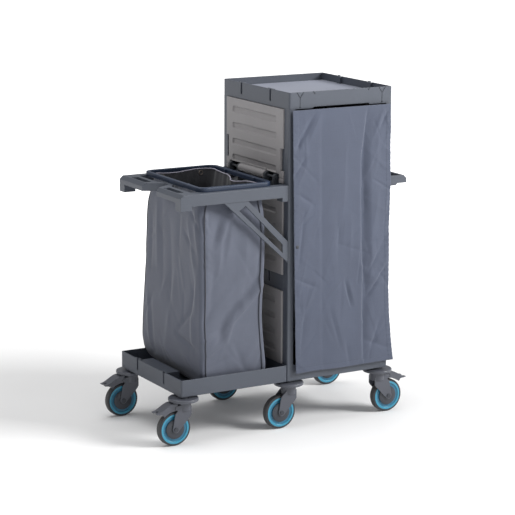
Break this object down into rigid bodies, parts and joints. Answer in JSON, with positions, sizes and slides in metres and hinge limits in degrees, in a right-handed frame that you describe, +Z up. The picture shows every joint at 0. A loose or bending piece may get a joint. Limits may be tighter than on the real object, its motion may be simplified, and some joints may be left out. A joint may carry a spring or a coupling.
{
  "type": "housekeeping cart",
  "caption": "Hotel housekeeping cart: shelved cabinet with front curtain and top tray, open laundry bag bay, push handle and swivel castors.",
  "frame": {"origin": "on the floor, centred under the whole cart, in line with the joint between the bag bay and the cabinet", "axes": "+Z up; +X from the bag bay to the cabinet and its push handle; -Y is the front, with the curtain"},
  "size_m": [1.056, 0.532, 1.2385],
  "materials": {
    "frame_grey": "fine textured moulded plastic",
    "panel_beige": "fine textured moulded plastic",
    "insert_pale": "smooth satin plastic",
    "hoop_navy": "smooth moulded plastic",
    "bracket_dark": "fine textured moulded plastic",
    "castor_grey": "grained nylon",
    "tyre": "matt rubber",
    "wheel_teal": "smooth moulded plastic",
    "steel": "zinc plated",
    "bag_fabric": "coated woven polyester",
    "curtain_fabric": "coated woven polyester"
  },
  "bodies": {
    "root": {"base_bag_deck": "frame_grey", "base_cabinet_deck": "frame_grey", "post_front_left": "frame_grey", "post_front_right": "frame_grey", "post_back_left": "frame_grey", "post_back_right": "frame_grey", "lower_shelf": "frame_grey", "upper_shelf": "frame_grey", "top_tray": "frame_grey", "tray_insert": "insert_pale", "left_panel_lower": "panel_beige", "left_panel_middle": "panel_beige", "right_panels": "panel_beige", "back_panels": "panel_beige", "flap_hinge_brackets": "bracket_dark", "flap_hinge_pin": "bracket_dark", "bag_rail_front": "frame_grey", "bag_rail_back": "frame_grey", "bag_end_grip": "frame_grey", "push_handle": "frame_grey", "brace_front": "frame_grey", "brace_back": "frame_grey", "bag_hoop": "hoop_navy", "bag_hooks": "hoop_navy", "laundry_bag": "bag_fabric", "front_curtain": "curtain_fabric", "curtain_rod": "steel", "curtain_rings": "steel", "curtain_catch": "bracket_dark", "castor_stems": "steel", "buffer_discs": "castor_grey"},
    "side_flap": {"side_flap": "panel_beige"},
    "fork_front_left": {"fork_front_left": "castor_grey", "axle_front_left": "castor_grey"},
    "wheel_front_left": {"wheel_centre_front_left": "wheel_teal", "tyre_front_left": "tyre"},
    "pedal_front_left": {"brake_pedal_front_left": "castor_grey"},
    "fork_back_left": {"fork_back_left": "castor_grey", "axle_back_left": "castor_grey"},
    "wheel_back_left": {"wheel_centre_back_left": "wheel_teal", "tyre_back_left": "tyre"},
    "pedal_back_left": {"brake_pedal_back_left": "castor_grey"},
    "fork_front_middle": {"fork_front_middle": "castor_grey", "axle_front_middle": "castor_grey"},
    "wheel_front_middle": {"wheel_centre_front_middle": "wheel_teal", "tyre_front_middle": "tyre"},
    "fork_back_middle": {"fork_back_middle": "castor_grey", "axle_back_middle": "castor_grey"},
    "wheel_back_middle": {"wheel_centre_back_middle": "wheel_teal", "tyre_back_middle": "tyre"},
    "fork_front_right": {"fork_front_right": "castor_grey", "axle_front_right": "castor_grey"},
    "wheel_front_right": {"wheel_centre_front_right": "wheel_teal", "tyre_front_right": "tyre"},
    "pedal_front_right": {"brake_pedal_front_right": "castor_grey"},
    "fork_back_right": {"fork_back_right": "castor_grey", "axle_back_right": "castor_grey"},
    "wheel_back_right": {"wheel_centre_back_right": "wheel_teal", "tyre_back_right": "tyre"},
    "pedal_back_right": {"brake_pedal_back_right": "castor_grey"}
  },
  "joints": [
    {"name": "side_flap_hinge", "type": "hinge", "parent": "root", "child": "side_flap", "pos_m": [-0.008, 0, 0.924], "axis": [0, -1, 0], "range_deg": [0, 90]},
    {"name": "swivel_front_left", "type": "hinge", "parent": "root", "child": "fork_front_left", "pos_m": [-0.411, -0.211, 0.14], "axis": [0, 0, 1], "continuous": true},
    {"name": "spin_front_left", "type": "hinge", "parent": "fork_front_left", "child": "wheel_front_left", "pos_m": [-0.451, -0.211, 0.0625], "axis": [0, 1, 0], "continuous": true},
    {"name": "brake_front_left", "type": "hinge", "parent": "fork_front_left", "child": "pedal_front_left", "pos_m": [-0.445, -0.211, 0.14], "axis": [0, -1, 0], "range_deg": [0, 6]},
    {"name": "swivel_back_left", "type": "hinge", "parent": "root", "child": "fork_back_left", "pos_m": [-0.411, 0.211, 0.14], "axis": [0, 0, 1], "continuous": true},
    {"name": "spin_back_left", "type": "hinge", "parent": "fork_back_left", "child": "wheel_back_left", "pos_m": [-0.451, 0.211, 0.0625], "axis": [0, 1, 0], "continuous": true},
    {"name": "brake_back_left", "type": "hinge", "parent": "fork_back_left", "child": "pedal_back_left", "pos_m": [-0.445, 0.211, 0.14], "axis": [0, -1, 0], "range_deg": [0, 6]},
    {"name": "swivel_front_middle", "type": "hinge", "parent": "root", "child": "fork_front_middle", "pos_m": [0.024, -0.211, 0.14], "axis": [0, 0, 1], "continuous": true},
    {"name": "spin_front_middle", "type": "hinge", "parent": "fork_front_middle", "child": "wheel_front_middle", "pos_m": [-0.016, -0.211, 0.0625], "axis": [0, 1, 0], "continuous": true},
    {"name": "swivel_back_middle", "type": "hinge", "parent": "root", "child": "fork_back_middle", "pos_m": [0.024, 0.211, 0.14], "axis": [0, 0, 1], "continuous": true},
    {"name": "spin_back_middle", "type": "hinge", "parent": "fork_back_middle", "child": "wheel_back_middle", "pos_m": [-0.016, 0.211, 0.0625], "axis": [0, 1, 0], "continuous": true},
    {"name": "swivel_front_right", "type": "hinge", "parent": "root", "child": "fork_front_right", "pos_m": [0.411, -0.211, 0.14], "axis": [0, 0, 1], "continuous": true},
    {"name": "spin_front_right", "type": "hinge", "parent": "fork_front_right", "child": "wheel_front_right", "pos_m": [0.451, -0.211, 0.0625], "axis": [0, 1, 0], "continuous": true},
    {"name": "brake_front_right", "type": "hinge", "parent": "fork_front_right", "child": "pedal_front_right", "pos_m": [0.445, -0.211, 0.14], "axis": [0, 1, 0], "range_deg": [0, 6]},
    {"name": "swivel_back_right", "type": "hinge", "parent": "root", "child": "fork_back_right", "pos_m": [0.411, 0.211, 0.14], "axis": [0, 0, 1], "continuous": true},
    {"name": "spin_back_right", "type": "hinge", "parent": "fork_back_right", "child": "wheel_back_right", "pos_m": [0.451, 0.211, 0.0625], "axis": [0, 1, 0], "continuous": true},
    {"name": "brake_back_right", "type": "hinge", "parent": "fork_back_right", "child": "pedal_back_right", "pos_m": [0.445, 0.211, 0.14], "axis": [0, 1, 0], "range_deg": [0, 6]}
  ]
}
